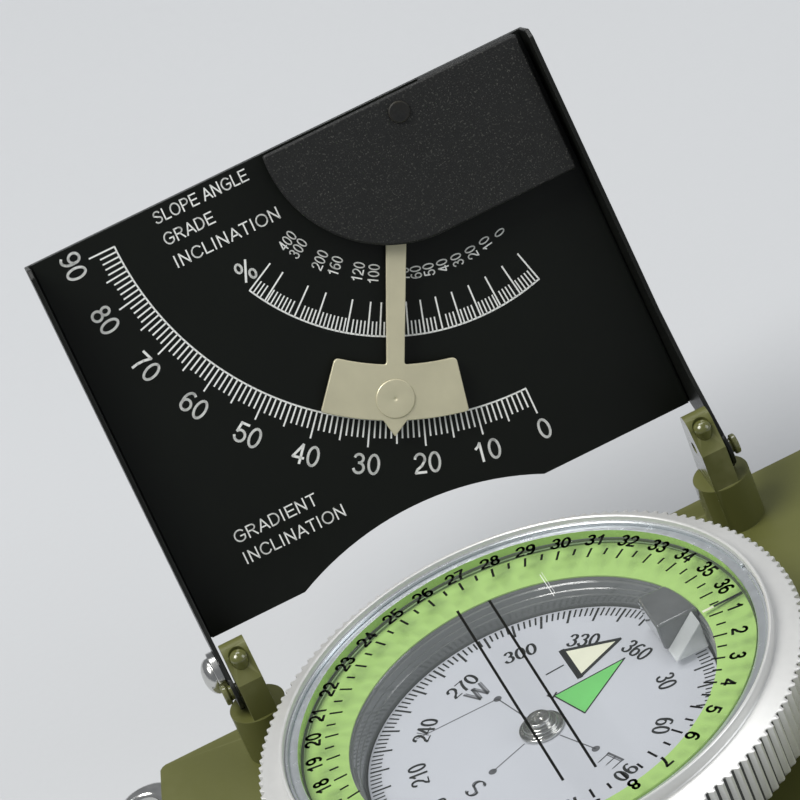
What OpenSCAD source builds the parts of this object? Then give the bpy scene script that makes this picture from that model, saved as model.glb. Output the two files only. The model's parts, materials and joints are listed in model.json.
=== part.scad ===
// Folding geology compass: cast base with a rotating knurled bezel over a compass card,
// and a hinged lid that carries a pendulum clinometer.
// Origin: centre of the base's underside, on the dial's axis. +X along the lid hinge,
// +Y towards the hinge, +Z up. The lid stands open against its stops.

/* [Base] */
// Depth of the base, front to back
base_depth = 59.4; // [59:0.2:61]
// Length of the base between its corners, along the hinge
base_length = 74.4; // [73:0.2:80]
// How far each end of the base bows out at its middle
end_bow = 4; // [2:0.5:5]
// Height of the base's flat top
base_h = 12.35; // [12:0.05:12.6]
// Offset of the base's and the lid's middle from the dial's axis
mid_x = 3; // [2.5:0.1:3.5]
// Wall thickness of the base casting
base_wall = 2.4; // [2:0.1:3]

/* [Dial] */
// Height of the dial glass above the base's flat top
dial_rise = 10.65; // [10.4:0.05:11]
// Radius over the knurled teeth of the bezel
bezel_tip_r = 27.2; // [26.9:0.1:27.5]
// Number of knurl teeth round the bezel
bezel_teeth = 150; // [90:10:180]
// Radius of the dial glass
glass_r = 22.8; // [22.6:0.1:22.9]
// Radius of the compass card
card_r = 17.6; // [17:0.1:17.6]
// Depth of the card's face below the dial glass
card_drop = 5.4; // [5.2:0.1:5.6]

/* [Lid] */
// Overall width of the lid across its side walls
lid_width = 55; // [55:0.2:56]
// Distance from the hinge axis to the lid's free edge
lid_reach = 45.9; // [45:0.1:47]
// Angle of the open lid above the horizontal
lid_lean = 67.3; // [60:0.1:72]
// Depth of the lid's side walls in front of the scale plate
side_wall_depth = 4.1; // [3.5:0.1:4.2]

/* [Clinometer] */
// Reading of the pendulum as it is drawn, in degrees
pendulum_reading = 25.6; // [0:0.2:90]
// Length of the pendulum from its pivot to the tip of its pointer
pendulum_length = 32.5; // [30:0.5:33]

/* [Hidden] */

$fn = 96;
tiny = 0.01;              // overshoot that keeps cuts clean
run_fit = 0.05;           // radial clearance of a turning fit
seat_fit = 0.02;          // radial clearance of a seated part

// Heights
dial_z = base_h + dial_rise;            // upper face of the dial glass
glass_t = 1.1;
neck_top = dial_z - 1.95;               // top of the fixed neck inside the bezel
ring_low_z = dial_z - 2.1;              // luminous ring's face at its inner edge
ring_high_z = dial_z - 1.6;             // and at its outer edge
ring_t = 0.15;
card_z = dial_z - card_drop;            // face of the compass card
card_t = 0.4;
bowl_floor_z = dial_z - 9.6;            // inner floor of the capsule
bowl_floor_t = 1.2;
cover_t = 1.2;                          // bottom cover plate
top_t = 2.6;                            // top wall of the base

// Radii round the dial's axis
neck_r = 23.4;
bowl_r = 21.4;
bowl_inner_r = 18.3;
ring_inner_r = 18.35;
ring_outer_r = 23.1;
bezel_root_r = bezel_tip_r - 0.45;
bezel_low = dial_z - 7.2;               // bezel's underside
collar_r = 24.5;                        // raised collar round the glass
collar_inner_r = 24.1;
collar_z = dial_z + 0.6;
ledge_z = dial_z - 0.3;                 // silver ledge between the collar and the glass

// Base outline
half_depth = base_depth / 2;
half_length = base_length / 2;
corner_cut = 0.55;                      // corner rounding of the base
end_r = (half_depth * half_depth + end_bow * end_bow) / (2 * end_bow);

// Hinge
hinge_y = half_depth - 5.7;
hinge_z = dial_z - 2.4;
pin_r = 0.75;
pin_head_r = 1.05;
pin_head_t = 0.6;
head_gap = 0.4;                         // between a pin's head and the lid's wall
ear_t = 2.6;                            // blade of a hinge ear
post_r = 2.9;                           // round post under each blade
post_inset = 1.05;                      // post's axis inside the blade's outer face
shelf_z = dial_z - 5.05;                // top of the posts
sheet_t = 0.9;                          // lid sheet
wall_t = 0.45;                          // lid's side walls
side_gap = 0.2;                         // between the lid's walls and the ears
post_y = hinge_y + 0.15;
lid_half = lid_width / 2;
ear_outer = lid_half - wall_t - side_gap;
ear_inner = ear_outer - ear_t;

// Lid, in its own axes: x along the hinge, y up the lid, z out of its inner face
plate_z = -7.4;                         // scale face, behind the hinge axis
plate_t = 0.5;
lid_foot = 4.3;                         // lower edge of the lid, above the hinge axis
sheet_z = plate_z - plate_t - sheet_t;  // outer face of the lid
notch_half = 13.45;                     // half width of the notch in the lower edge
notch_depth = 3;
notch_r = (notch_half * notch_half + notch_depth * notch_depth) / (2 * notch_depth);
clino_x = 15.4;                         // clinometer pivot
clino_y = lid_reach - 1.9;
pend_z = plate_z + 0.8;                 // back of the pendulum sheet
pend_t = 0.5;
hub_z = plate_z + 2;                    // back of the hub cover
hub_t = 0.7;
hub_arc_r = 13.3;
rivet_r = 0.7;

// ---------- shared shapes ----------

module ring(r_out, r_in, z0, z1) {
    translate([0, 0, z0]) difference() {
        cylinder(r = r_out, h = z1 - z0);
        translate([0, 0, -tiny]) cylinder(r = r_in, h = z1 - z0 + 2 * tiny);
    }
}

// Rod along X from x0 to x1 through the point (y, z)
module rod_x(r, x0, x1, y, z) {
    translate([x0, y, z]) rotate([0, 90, 0]) cylinder(r = r, h = x1 - x0);
}

// Repeats its child on the left and, mirrored, on the right of the middle plane
module both_sides() {
    for (side = [0, 1]) translate([mid_x, 0, 0]) mirror([side, 0, 0]) children();
}

// Places lid parts: the hinge axis becomes the local x axis
module on_lid() { translate([0, hinge_y, hinge_z]) rotate([lid_lean, 0, 0]) children(); }

// Places clinometer parts: pivot at the local origin, scale face at local z = 0
module on_clinometer() { on_lid() translate([clino_x, clino_y, plate_z]) children(); }

// Extrudes a drawing in the (y, z) plane along X, from x0 to x1
module plate_yz(x0, x1) {
    translate([x0, 0, 0]) rotate([90, 0, 90]) linear_extrude(x1 - x0) children();
}

// ---------- base ----------

function bow_x(y, inset) = half_length + sqrt(end_r * end_r - y * y) - (end_r - end_bow) - inset;

function outline(inset) = let (d = half_depth - inset, c = corner_cut)
    concat([for (k = [0:12]) let (y = -(d - c) + 2 * (d - c) * k / 12) [bow_x(y, inset), y]],
           [[bow_x(d, inset) - 0.35 * c, d - 0.3 * c], [bow_x(d, inset) - c, d]],
           [[-bow_x(d, inset) + c, d], [-bow_x(d, inset) + 0.35 * c, d - 0.3 * c]],
           [for (k = [0:12]) let (y = (d - c) - 2 * (d - c) * k / 12) [-bow_x(y, inset), y]],
           [[-bow_x(d, inset) + 0.35 * c, -d + 0.3 * c], [-bow_x(d, inset) + c, -d]],
           [[bow_x(d, inset) - c, -d], [bow_x(d, inset) - 0.35 * c, -d + 0.3 * c]]);

module base_plan(inset, z0, z1) {
    translate([mid_x, 0, z0]) linear_extrude(z1 - z0) polygon(outline(inset));
}

boss_x = half_length - 3.6;
boss_y = half_depth - 5.6;
boss_r = 2.6;
tap_r = 0.9;

module screw_places() {
    for (x = [-boss_x, boss_x], y = [-boss_y, boss_y]) translate([mid_x + x, y, 0]) children();
}

// Side view of an ear's blade: leaning back, round top, sloping shoulder over an upright front
ear_top_r = 1.5;
ear_top_y = hinge_y + 0.4;
ear_top_z = dial_z + 1.2;
ear_front = post_y - 2.55;
ear_rear = post_y + 2.7;
shoulder_z = dial_z - 0.6;

module ear_profile() {
    translate([ear_top_y, ear_top_z]) circle(r = ear_top_r);
    polygon([[ear_rear, base_h - 1], [ear_rear, shelf_z],
             [ear_top_y + 0.97 * ear_top_r, ear_top_z + 0.2 * ear_top_r],
             [ear_top_y - 0.7 * ear_top_r, ear_top_z + 0.7 * ear_top_r],
             [ear_front, shoulder_z], [ear_front, base_h - 1]]);
}

// Post with a level top on each side of the blade that rises from it
module ear() {
    translate([ear_outer - post_inset, post_y, base_h - 1]) cylinder(r = post_r, h = shelf_z - base_h + 1);
    plate_yz(ear_inner, ear_outer) ear_profile();
}

lock_r = 0.9;
lock_x = (ear_inner + ear_outer) / 2;
lock_lean = 14;                         // lock screw's axis, forward of upright
lock_low = pin_r + 0.1;                 // its ends, from the hinge axis
lock_top = 4.25;
dimple_r = 0.63;                        // blind hole in each ear's inner face
dimple_z = dial_z - 0.75;
dimple_depth = 0.3;

// Places a lock screw: the hinge axis becomes the local origin, the screw's axis local z
module on_lock() { both_sides() translate([lock_x, hinge_y, hinge_z]) rotate([lock_lean, 0, 0]) children(); }

module base_housing() {
    color("darkolivegreen") difference() {
        union() {
            base_plan(0, 0, base_h);
            translate([0, 0, base_h - tiny]) cylinder(r = neck_r, h = neck_top - base_h + tiny);
            both_sides() ear();
        }
        difference() {
            base_plan(base_wall, -tiny, base_h - top_t);
            cylinder(r = neck_r, h = base_h);
            screw_places() cylinder(r = boss_r, h = base_h);
        }
        translate([0, 0, bowl_floor_z - bowl_floor_t]) cylinder(r = bowl_r + seat_fit, h = base_h * 2);
        translate([0, 0, -tiny]) cylinder(r = bowl_inner_r, h = base_h);
        // seat of the bottom cover and its screw holes
        base_plan(base_wall / 2, -tiny, cover_t);
        screw_places() cylinder(r = tap_r + seat_fit, h = 7);
        // groove of the bezel spring
        rotate_extrude() translate([neck_r - 0.35, spring_z - 0.6]) square([1, 1.2]);
        both_sides() {
            rod_x(pin_r + seat_fit, ear_inner + 0.3, ear_outer + 1, hinge_y, hinge_z);
            rod_x(dimple_r, ear_inner - 1, ear_inner + dimple_depth, hinge_y, dimple_z);
        }
        on_lock() translate([0, 0, lock_low]) cylinder(r = lock_r + seat_fit, h = 6);
        eye_blank(seat_fit);
    }
}

module bottom_cover() {
    color("darkolivegreen") difference() {
        base_plan(base_wall / 2 + 0.15, 0, cover_t - 0.05);
        screw_places() {
            translate([0, 0, -tiny]) cylinder(r = tap_r + 0.1, h = cover_t + 1);
            translate([0, 0, -tiny]) cylinder(r1 = 1.85, r2 = tap_r + 0.1, h = 0.9);
        }
    }
}

module bottom_cover_screws() {
    color("silver") screw_places() difference() {
        union() {
            translate([0, 0, 0.05]) cylinder(r1 = 1.7, r2 = tap_r, h = 0.8);
            translate([0, 0, 0.4]) cylinder(r = tap_r, h = 5.6);
        }
        translate([-2, -0.2, 0]) cube([4, 0.4, 0.35]);
    }
}

// Height just under the luminous ring at radius r
function ring_under(r) = ring_low_z - ring_t - tiny
    + (ring_high_z - ring_low_z) * (r - ring_inner_r) / (ring_outer_r - ring_inner_r);

module capsule_bowl() {
    low = bowl_floor_z - bowl_floor_t + tiny;
    color("dimgray") difference() {
        rotate_extrude() polygon([[0, low], [bowl_r, low], [bowl_r, ring_under(bowl_r)],
            [bowl_inner_r, ring_under(bowl_inner_r)], [bowl_inner_r, bowl_floor_z], [0, bowl_floor_z]]);
        // socket of the pivot needle
        translate([0, 0, bowl_floor_z - 0.8]) cylinder(r = 0.6 + seat_fit, h = 2);
    }
}

module pivot_needle() {
    color("silver") rotate_extrude()
        polygon([[0, bowl_floor_z - 0.78], [0.6, bowl_floor_z - 0.78], [0.6, bowl_floor_z + 1.4],
                 [0.12, card_z - 0.75], [0, card_z - 0.7]]);
}

// Dished ring, lower at its inner edge
module luminous_ring() {
    color("yellowgreen") rotate_extrude() polygon([[ring_inner_r, ring_low_z - ring_t],
        [ring_outer_r, ring_high_z - ring_t], [ring_outer_r, ring_high_z], [ring_inner_r, ring_low_z]]);
}

prism_x0 = 13.9;
prism_low = card_z + 0.7;
prism_high = dial_z - 1.7;

module prism_mount() {
    color("gray") intersection() {
        translate([prism_x0, 1.3, prism_low]) cube([8, 5.6, prism_high - prism_low]);
        translate([0, 0, prism_low]) cylinder(r = bowl_inner_r - 0.02, h = 10);
    }
}

module reading_prism() {
    color("lightcyan", 0.5) translate([0, 1.28, 0]) rotate([90, 0, 0]) linear_extrude(2.4)
        polygon([[prism_x0 + 0.2, prism_low], [prism_x0 + 3.7, prism_low], [prism_x0 + 3.7, prism_high]]);
}

spring_z = bezel_low + 1.8;

module bezel_spring() {
    color("silver") difference() {
        rotate_extrude() translate([neck_r - 0.1, spring_z]) square([0.4, 0.5], center = true);
        translate([0, 0, spring_z - 1]) rotate([0, 0, -3]) cube([30, 2, 2]);
    }
}

// ---------- hinge ----------

module hinge_pins() {
    color("olivedrab") both_sides() {
        rod_x(pin_r, ear_inner + 0.35, lid_half + head_gap, hinge_y, hinge_z);
        rod_x(pin_head_r, lid_half + head_gap, lid_half + head_gap + pin_head_t, hinge_y, hinge_z);
    }
}

module pin_lock_screws() {
    color("olivedrab") on_lock() {
        translate([0, 0, lock_low + tiny]) cylinder(r = lock_r, h = lock_top - lock_low);
        // domed end on the ear's shoulder
        translate([0, 0, lock_top - 0.35]) intersection() {
            sphere(r = 1.05);
            cylinder(r = lock_r, h = 2);
        }
    }
}

// ---------- lanyard eye ----------

eye_x = mid_x - half_length - 2.6;
eye_y = half_depth - 3.6;
eye_z = base_h - 2.2;                   // underside of the eye
eye_t = 1.4;
eye_r = 3.3;
eye_hole_r = 1.7;

// Outline of the eye and of its shank in the wall of the base, grown by gap
module eye_blank(gap) {
    translate([eye_x, eye_y, eye_z - gap]) cylinder(r = eye_r + gap, h = eye_t + 2 * gap);
    translate([eye_x, eye_y - 2.4 - gap, eye_z - gap]) cube([4.6 + gap, 4.8 + 2 * gap, eye_t + 2 * gap]);
}

module lanyard_eye() {
    color("silver") difference() {
        eye_blank(0);
        translate([eye_x - 0.7, eye_y, eye_z - 1]) cylinder(r = eye_hole_r, h = eye_t + 2);
    }
}

// ---------- bezel ----------

function star(n, tip, root) = [for (k = [0:n - 1], half = [0, 1])
    let (a = 360 * (k + half / 2) / n, r = half == 0 ? tip : root) [r * cos(a), r * sin(a)]];

module bezel_ring() {
    color("silver") difference() {
        intersection() {
            translate([0, 0, bezel_low]) linear_extrude(dial_z - bezel_low + 2)
                polygon(star(bezel_teeth, bezel_tip_r, bezel_root_r));
            rotate_extrude() polygon([[0, bezel_low], [bezel_tip_r - 0.5, bezel_low],
                [bezel_tip_r + 0.1, bezel_low + 0.6], [bezel_tip_r + 0.1, dial_z - 1.25],
                [collar_r, ledge_z - 0.3], [collar_r, collar_z - 0.1], [collar_r - 0.1, collar_z],
                [0, collar_z]]);
        }
        translate([0, 0, base_h]) cylinder(r = neck_r + run_fit, h = 20);
        translate([0, 0, cell_low - tiny]) cylinder(r = collar_inner_r, h = 20);
        // inner groove that clips over the spring
        rotate_extrude() translate([neck_r - 0.4, spring_z - 0.35]) square([0.8, 0.7]);
    }
}

module dial_glass() {
    color("white", 0.3) translate([0, 0, dial_z - glass_t]) cylinder(r = glass_r, h = glass_t);
}

cell_low = dial_z - 1.4;                // underside of the cell that holds the glass
cell_lip = 0.2;
cell_lip_t = 0.15;

// Flat ring round the glass, with a lip under its edge
module glass_retainer() {
    color("silver") rotate_extrude() polygon([[glass_r - cell_lip, cell_low],
        [collar_inner_r - seat_fit, cell_low], [collar_inner_r - seat_fit, ledge_z], [glass_r + seat_fit, ledge_z],
        [glass_r + seat_fit, cell_low + cell_lip_t], [glass_r - cell_lip, cell_low + cell_lip_t]]);
}

module glass_gasket() {
    color("black")
        ring(glass_r - tiny, glass_r - cell_lip, cell_low + cell_lip_t + tiny, dial_z - glass_t - tiny);
}

snap_wire = 0.35;
snap_gap_angle = 2.5;     // where the snap ring's ends face each other
snap_gap = 1.5;

// Split ring in the corner between the ledge and the collar
module snap_ring() {
    color("silver") difference() {
        ring(collar_inner_r - seat_fit, collar_inner_r - snap_wire, ledge_z + tiny, ledge_z + snap_wire);
        rotate([0, 0, snap_gap_angle]) translate([0, -snap_gap / 2, ledge_z - 1]) cube([30, snap_gap, 2]);
    }
}

// ---------- compass card ----------

module compass_card() { color("white") ring(card_r, 1.3, card_z - card_t, card_z); }

module card_hub() {
    color("silver") difference() {
        union() {
            translate([0, 0, card_z + tiny]) cylinder(r = 2.25, h = 0.35);
            translate([0, 0, card_z + 0.3]) cylinder(r = 1.75, h = 0.5);
            translate([0, 0, card_z + 0.7]) cylinder(r = 1.2, h = 0.7);
            translate([0, 0, card_z - 1.5]) cylinder(r = 1.28, h = 1.6);
        }
        translate([0, 0, card_z - 2]) cylinder(r = 0.85, h = 2.2);
        translate([0, 0, card_z + 0.8]) cylinder(r = 0.65, h = 1, $fn = 6);
    }
}

module jewel_bearing() {
    color("crimson") difference() {
        translate([0, 0, card_z - 1.1]) cylinder(r = 0.83, h = 1.28);
        translate([0, 0, card_z - 1.2]) cylinder(r1 = 0.6, r2 = 0.05, h = 0.6);
    }
}

magnet_len = 15;

module card_magnets() {
    color("dimgray") for (side = [-1, 1])
        rotate([0, 0, north_angle]) translate([-magnet_len / 2, side * 4.2 - 1.1, card_z - card_t - 1.8 - tiny])
            cube([magnet_len, 2.2, 1.8]);
}

north_angle = 20;         // bearing of the card's north from +X at rest

// ---------- lid ----------

// Side wall of the lid with its hinge tab and stop heel, drawn as (y, z) in lid axes
tab_r = 1.85;
heel_z = shelf_z - hinge_z + 0.2;       // sole of the heel, just above the post

module side_wall_profile() {
    front = plate_z + side_wall_depth;
    polygon([[lid_foot, sheet_z], [lid_reach - 0.8, sheet_z], [lid_reach, sheet_z + 0.8],
             [lid_reach, front - 0.8], [lid_reach - 0.8, front], [15, front], [8, front + 1.6],
             [1.6, 1.1], [-1.2, 1.1], [-1.6, -0.8]]);
    circle(r = tab_r);
    rotate(-lid_lean) polygon([[0, heel_z], [2, heel_z], [5.5, -1.2], [7.5, 0.5], [0, 0]]);
}

module lid_sheet_plan(inset) {
    difference() {
        translate([mid_x - lid_half + inset, lid_foot]) square([lid_width - 2 * inset, lid_reach - lid_foot]);
        translate([0, lid_foot + notch_depth - notch_r]) circle(r = notch_r);
    }
}

module lid_shell() {
    color("#22241f") on_lid() difference() {
        union() {
            translate([0, 0, sheet_z]) linear_extrude(sheet_t) lid_sheet_plan(0);
            both_sides() plate_yz(lid_half - wall_t, lid_half) difference() {
                side_wall_profile();
                circle(r = pin_r + run_fit);
            }
        }
        translate([clino_x, clino_y, sheet_z - 1]) cylinder(r = rivet_r + seat_fit, h = 4);
        rod_x(screw_r + seat_fit, mid_x - lid_half - 1, mid_x - lid_half + 2, screw_y, screw_z);
    }
}

module clinometer_plate() {
    color("#1a1d19") on_lid() difference() {
        translate([0, 0, plate_z - plate_t + tiny]) linear_extrude(plate_t - tiny)
            lid_sheet_plan(wall_t + 0.25);
        translate([clino_x, clino_y, plate_z - 2]) cylinder(r = rivet_r + seat_fit, h = 4);
    }
}

hub_right = 13.8;
hub_low = -12.8;

module hub_cover_plan() {
    intersection() {
        union() {
            translate([-0.9, 0.5]) circle(r = hub_arc_r);
            translate([-0.9, hub_low]) square([hub_right + 0.9, 20]);
        }
        translate([-20, hub_low]) square([20 + hub_right, lid_reach - clino_y - hub_low]);
    }
}

module hub_cover() {
    edge = lid_reach - clino_y;
    color("#2c2d2b") on_clinometer() difference() {
        union() {
            translate([0, 0, hub_z - plate_z]) linear_extrude(hub_t) hub_cover_plan();
            // folded skirts that stand on the scale plate
            translate([3.2, edge - 0.5, tiny]) cube([hub_right - 3.2, 0.5, hub_z - plate_z]);
            translate([hub_right - 0.6, hub_low, tiny]) cube([0.6, edge - hub_low, hub_z - plate_z]);
        }
        translate([0, 0, -tiny]) cylinder(r = rivet_r + seat_fit, h = 6);
    }
}

module pendulum_rivet() {
    color("black") on_clinometer() {
        translate([0, 0, sheet_z - plate_z - 0.4]) cylinder(r = 1.5, h = 0.39);
        translate([0, 0, sheet_z - plate_z - 0.4]) cylinder(r = rivet_r, h = hub_z + hub_t - sheet_z + 0.5);
        translate([0, 0, hub_z + hub_t - plate_z + tiny]) cylinder(r = 1.1, h = 0.3);
    }
}

module rivet_washer() {
    color("silver") on_clinometer() ring(1.7, rivet_r + seat_fit, tiny, 0.35);
}

screw_y = 1.7;            // clamp screw of the left tab, in lid axes
screw_z = -2.8;
screw_r = 0.9;
screw_x = mid_x - lid_half;
washer_t = 0.8;

module tab_screw() {
    color("silver") on_lid() {
        rod_x(screw_r, screw_x - 1, screw_x + wall_t, screw_y, screw_z);
        translate([screw_x - washer_t - tiny, screw_y, screw_z]) intersection() {
            translate([0.75, 0, 0]) sphere(r = 2.05);
            translate([-3, -3, -3]) cube([3, 6, 6]);
        }
    }
}

module tab_washer() {
    color("silver") on_lid() difference() {
        rod_x(2.35, screw_x - washer_t, screw_x - tiny, screw_y, screw_z);
        rod_x(screw_r + seat_fit, screw_x - 1, screw_x + 1, screw_y, screw_z);
        // flat that clears the hinge pin's head
        rod_x(pin_head_r + 0.2, screw_x - 1, screw_x + 1, 0, 0);
    }
}

// ---------- pendulum ----------

sector_in = 25.3;
sector_out = 30.9;
sector_half = 14;         // half angle of the sector
stem_w = 1.9;

// Pendulum hanging down its own -y axis
module pendulum_plan() {
    circle(r = 1.75);
    translate([-stem_w / 2, -sector_in - 1]) square([stem_w, sector_in + 1]);
    intersection() {
        difference() {
            circle(r = sector_out);
            circle(r = sector_in);
        }
        polygon([[0, 0], [-40 * tan(sector_half), -40], [40 * tan(sector_half), -40]]);
    }
}

module pointer_plan() {
    polygon([[-1.2, -sector_out + 0.1], [-1, -sector_in - 1], [1, -sector_in - 1],
             [1.2, -sector_out + 0.1], [0, -pendulum_length]]);
}

module clinometer_pendulum() {
    color("tan") on_clinometer() rotate(-pendulum_reading) difference() {
        translate([0, 0, pend_z - plate_z]) union() {
            linear_extrude(pend_t) pendulum_plan();
            linear_extrude(pend_t) pointer_plan();
        }
        cylinder(r = 1.15 + seat_fit, h = 4);
    }
}

module pendulum_bushing() {
    color("goldenrod") on_clinometer() ring(1.15, rivet_r + run_fit, 0.45, hub_z - plate_z - 0.15);
}

base_housing();
bottom_cover();
bottom_cover_screws();
capsule_bowl();
pivot_needle();
luminous_ring();
prism_mount();
reading_prism();
bezel_spring();
hinge_pins();
pin_lock_screws();
lanyard_eye();
bezel_ring();
dial_glass();
glass_retainer();
glass_gasket();
snap_ring();
compass_card();
card_hub();
jewel_bearing();
card_magnets();
lid_shell();
clinometer_plate();
hub_cover();
pendulum_rivet();
rivet_washer();
tab_screw();
tab_washer();
clinometer_pendulum();
pendulum_bushing();
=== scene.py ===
import json
import math

import bmesh
import bpy
from mathutils import Matrix, Vector

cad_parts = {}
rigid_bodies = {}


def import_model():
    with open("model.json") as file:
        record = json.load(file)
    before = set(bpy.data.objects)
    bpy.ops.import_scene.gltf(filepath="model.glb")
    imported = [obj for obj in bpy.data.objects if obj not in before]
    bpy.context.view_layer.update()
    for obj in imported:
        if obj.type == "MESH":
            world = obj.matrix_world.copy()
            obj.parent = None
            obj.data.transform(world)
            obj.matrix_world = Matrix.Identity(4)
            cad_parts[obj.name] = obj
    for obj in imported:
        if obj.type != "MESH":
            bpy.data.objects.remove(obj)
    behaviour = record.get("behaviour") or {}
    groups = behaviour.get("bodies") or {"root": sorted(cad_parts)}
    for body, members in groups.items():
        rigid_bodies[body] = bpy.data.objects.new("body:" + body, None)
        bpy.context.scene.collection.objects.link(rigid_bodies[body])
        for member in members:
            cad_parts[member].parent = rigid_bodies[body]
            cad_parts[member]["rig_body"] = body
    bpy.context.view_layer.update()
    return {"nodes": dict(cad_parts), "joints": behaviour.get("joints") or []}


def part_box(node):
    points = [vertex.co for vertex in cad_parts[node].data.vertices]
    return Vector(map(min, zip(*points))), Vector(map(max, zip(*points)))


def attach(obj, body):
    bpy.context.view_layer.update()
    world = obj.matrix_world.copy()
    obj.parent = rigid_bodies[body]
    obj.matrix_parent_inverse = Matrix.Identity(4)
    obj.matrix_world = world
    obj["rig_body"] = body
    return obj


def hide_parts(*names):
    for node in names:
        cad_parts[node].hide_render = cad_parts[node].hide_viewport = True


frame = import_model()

NODES = frame["nodes"]
MM = 0.001

# ---------- positions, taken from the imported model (millimetres) ----------

JOINT = {j["name"]: j for j in frame["joints"]}
HINGE = Vector(JOINT["lid_hinge"]["pos_m"]) / MM
SWING_AXIS = Vector(JOINT["pendulum_swing"]["axis"])
PIVOT = Vector(JOINT["pendulum_swing"]["pos_m"]) / MM
LID_NORMAL = -SWING_AXIS.normalized()
LEAN = math.atan2(-LID_NORMAL.y, LID_NORMAL.z)
DIAL_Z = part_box("dial_glass")[1].z / MM
CARD_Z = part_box("compass_card")[1].z / MM
NECK_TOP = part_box("capsule_bowl")[1].z / MM
GREEN_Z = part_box("luminous_ring")[1].z / MM
BASE_LOW, BASE_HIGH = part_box("base_housing")
MID_X = (BASE_LOW.x + BASE_HIGH.x) / 2 / MM

ON_LID = Matrix.Translation(HINGE) @ Matrix.Rotation(LEAN, 4, "X")
LEDGE_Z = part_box("glass_retainer")[1].z / MM
LID_PIVOT = ON_LID.inverted() @ PIVOT
PLATE_Z = LID_PIVOT.z
READING = math.radians(25.6)
NORTH = math.radians(20.5)


# ---------- materials ----------

def srgb(hexcode):
    """Linear colour from a six-digit sRGB code."""
    out = []
    for k in (0, 2, 4):
        c = int(hexcode[k:k + 2], 16) / 255
        out.append(c / 12.92 if c <= 0.04045 else ((c + 0.055) / 1.055) ** 2.4)
    return (out[0], out[1], out[2], 1.0)


def shift(c, f):
    return (min(c[0] * f, 1), min(c[1] * f, 1), min(c[2] * f, 1), 1)


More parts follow.
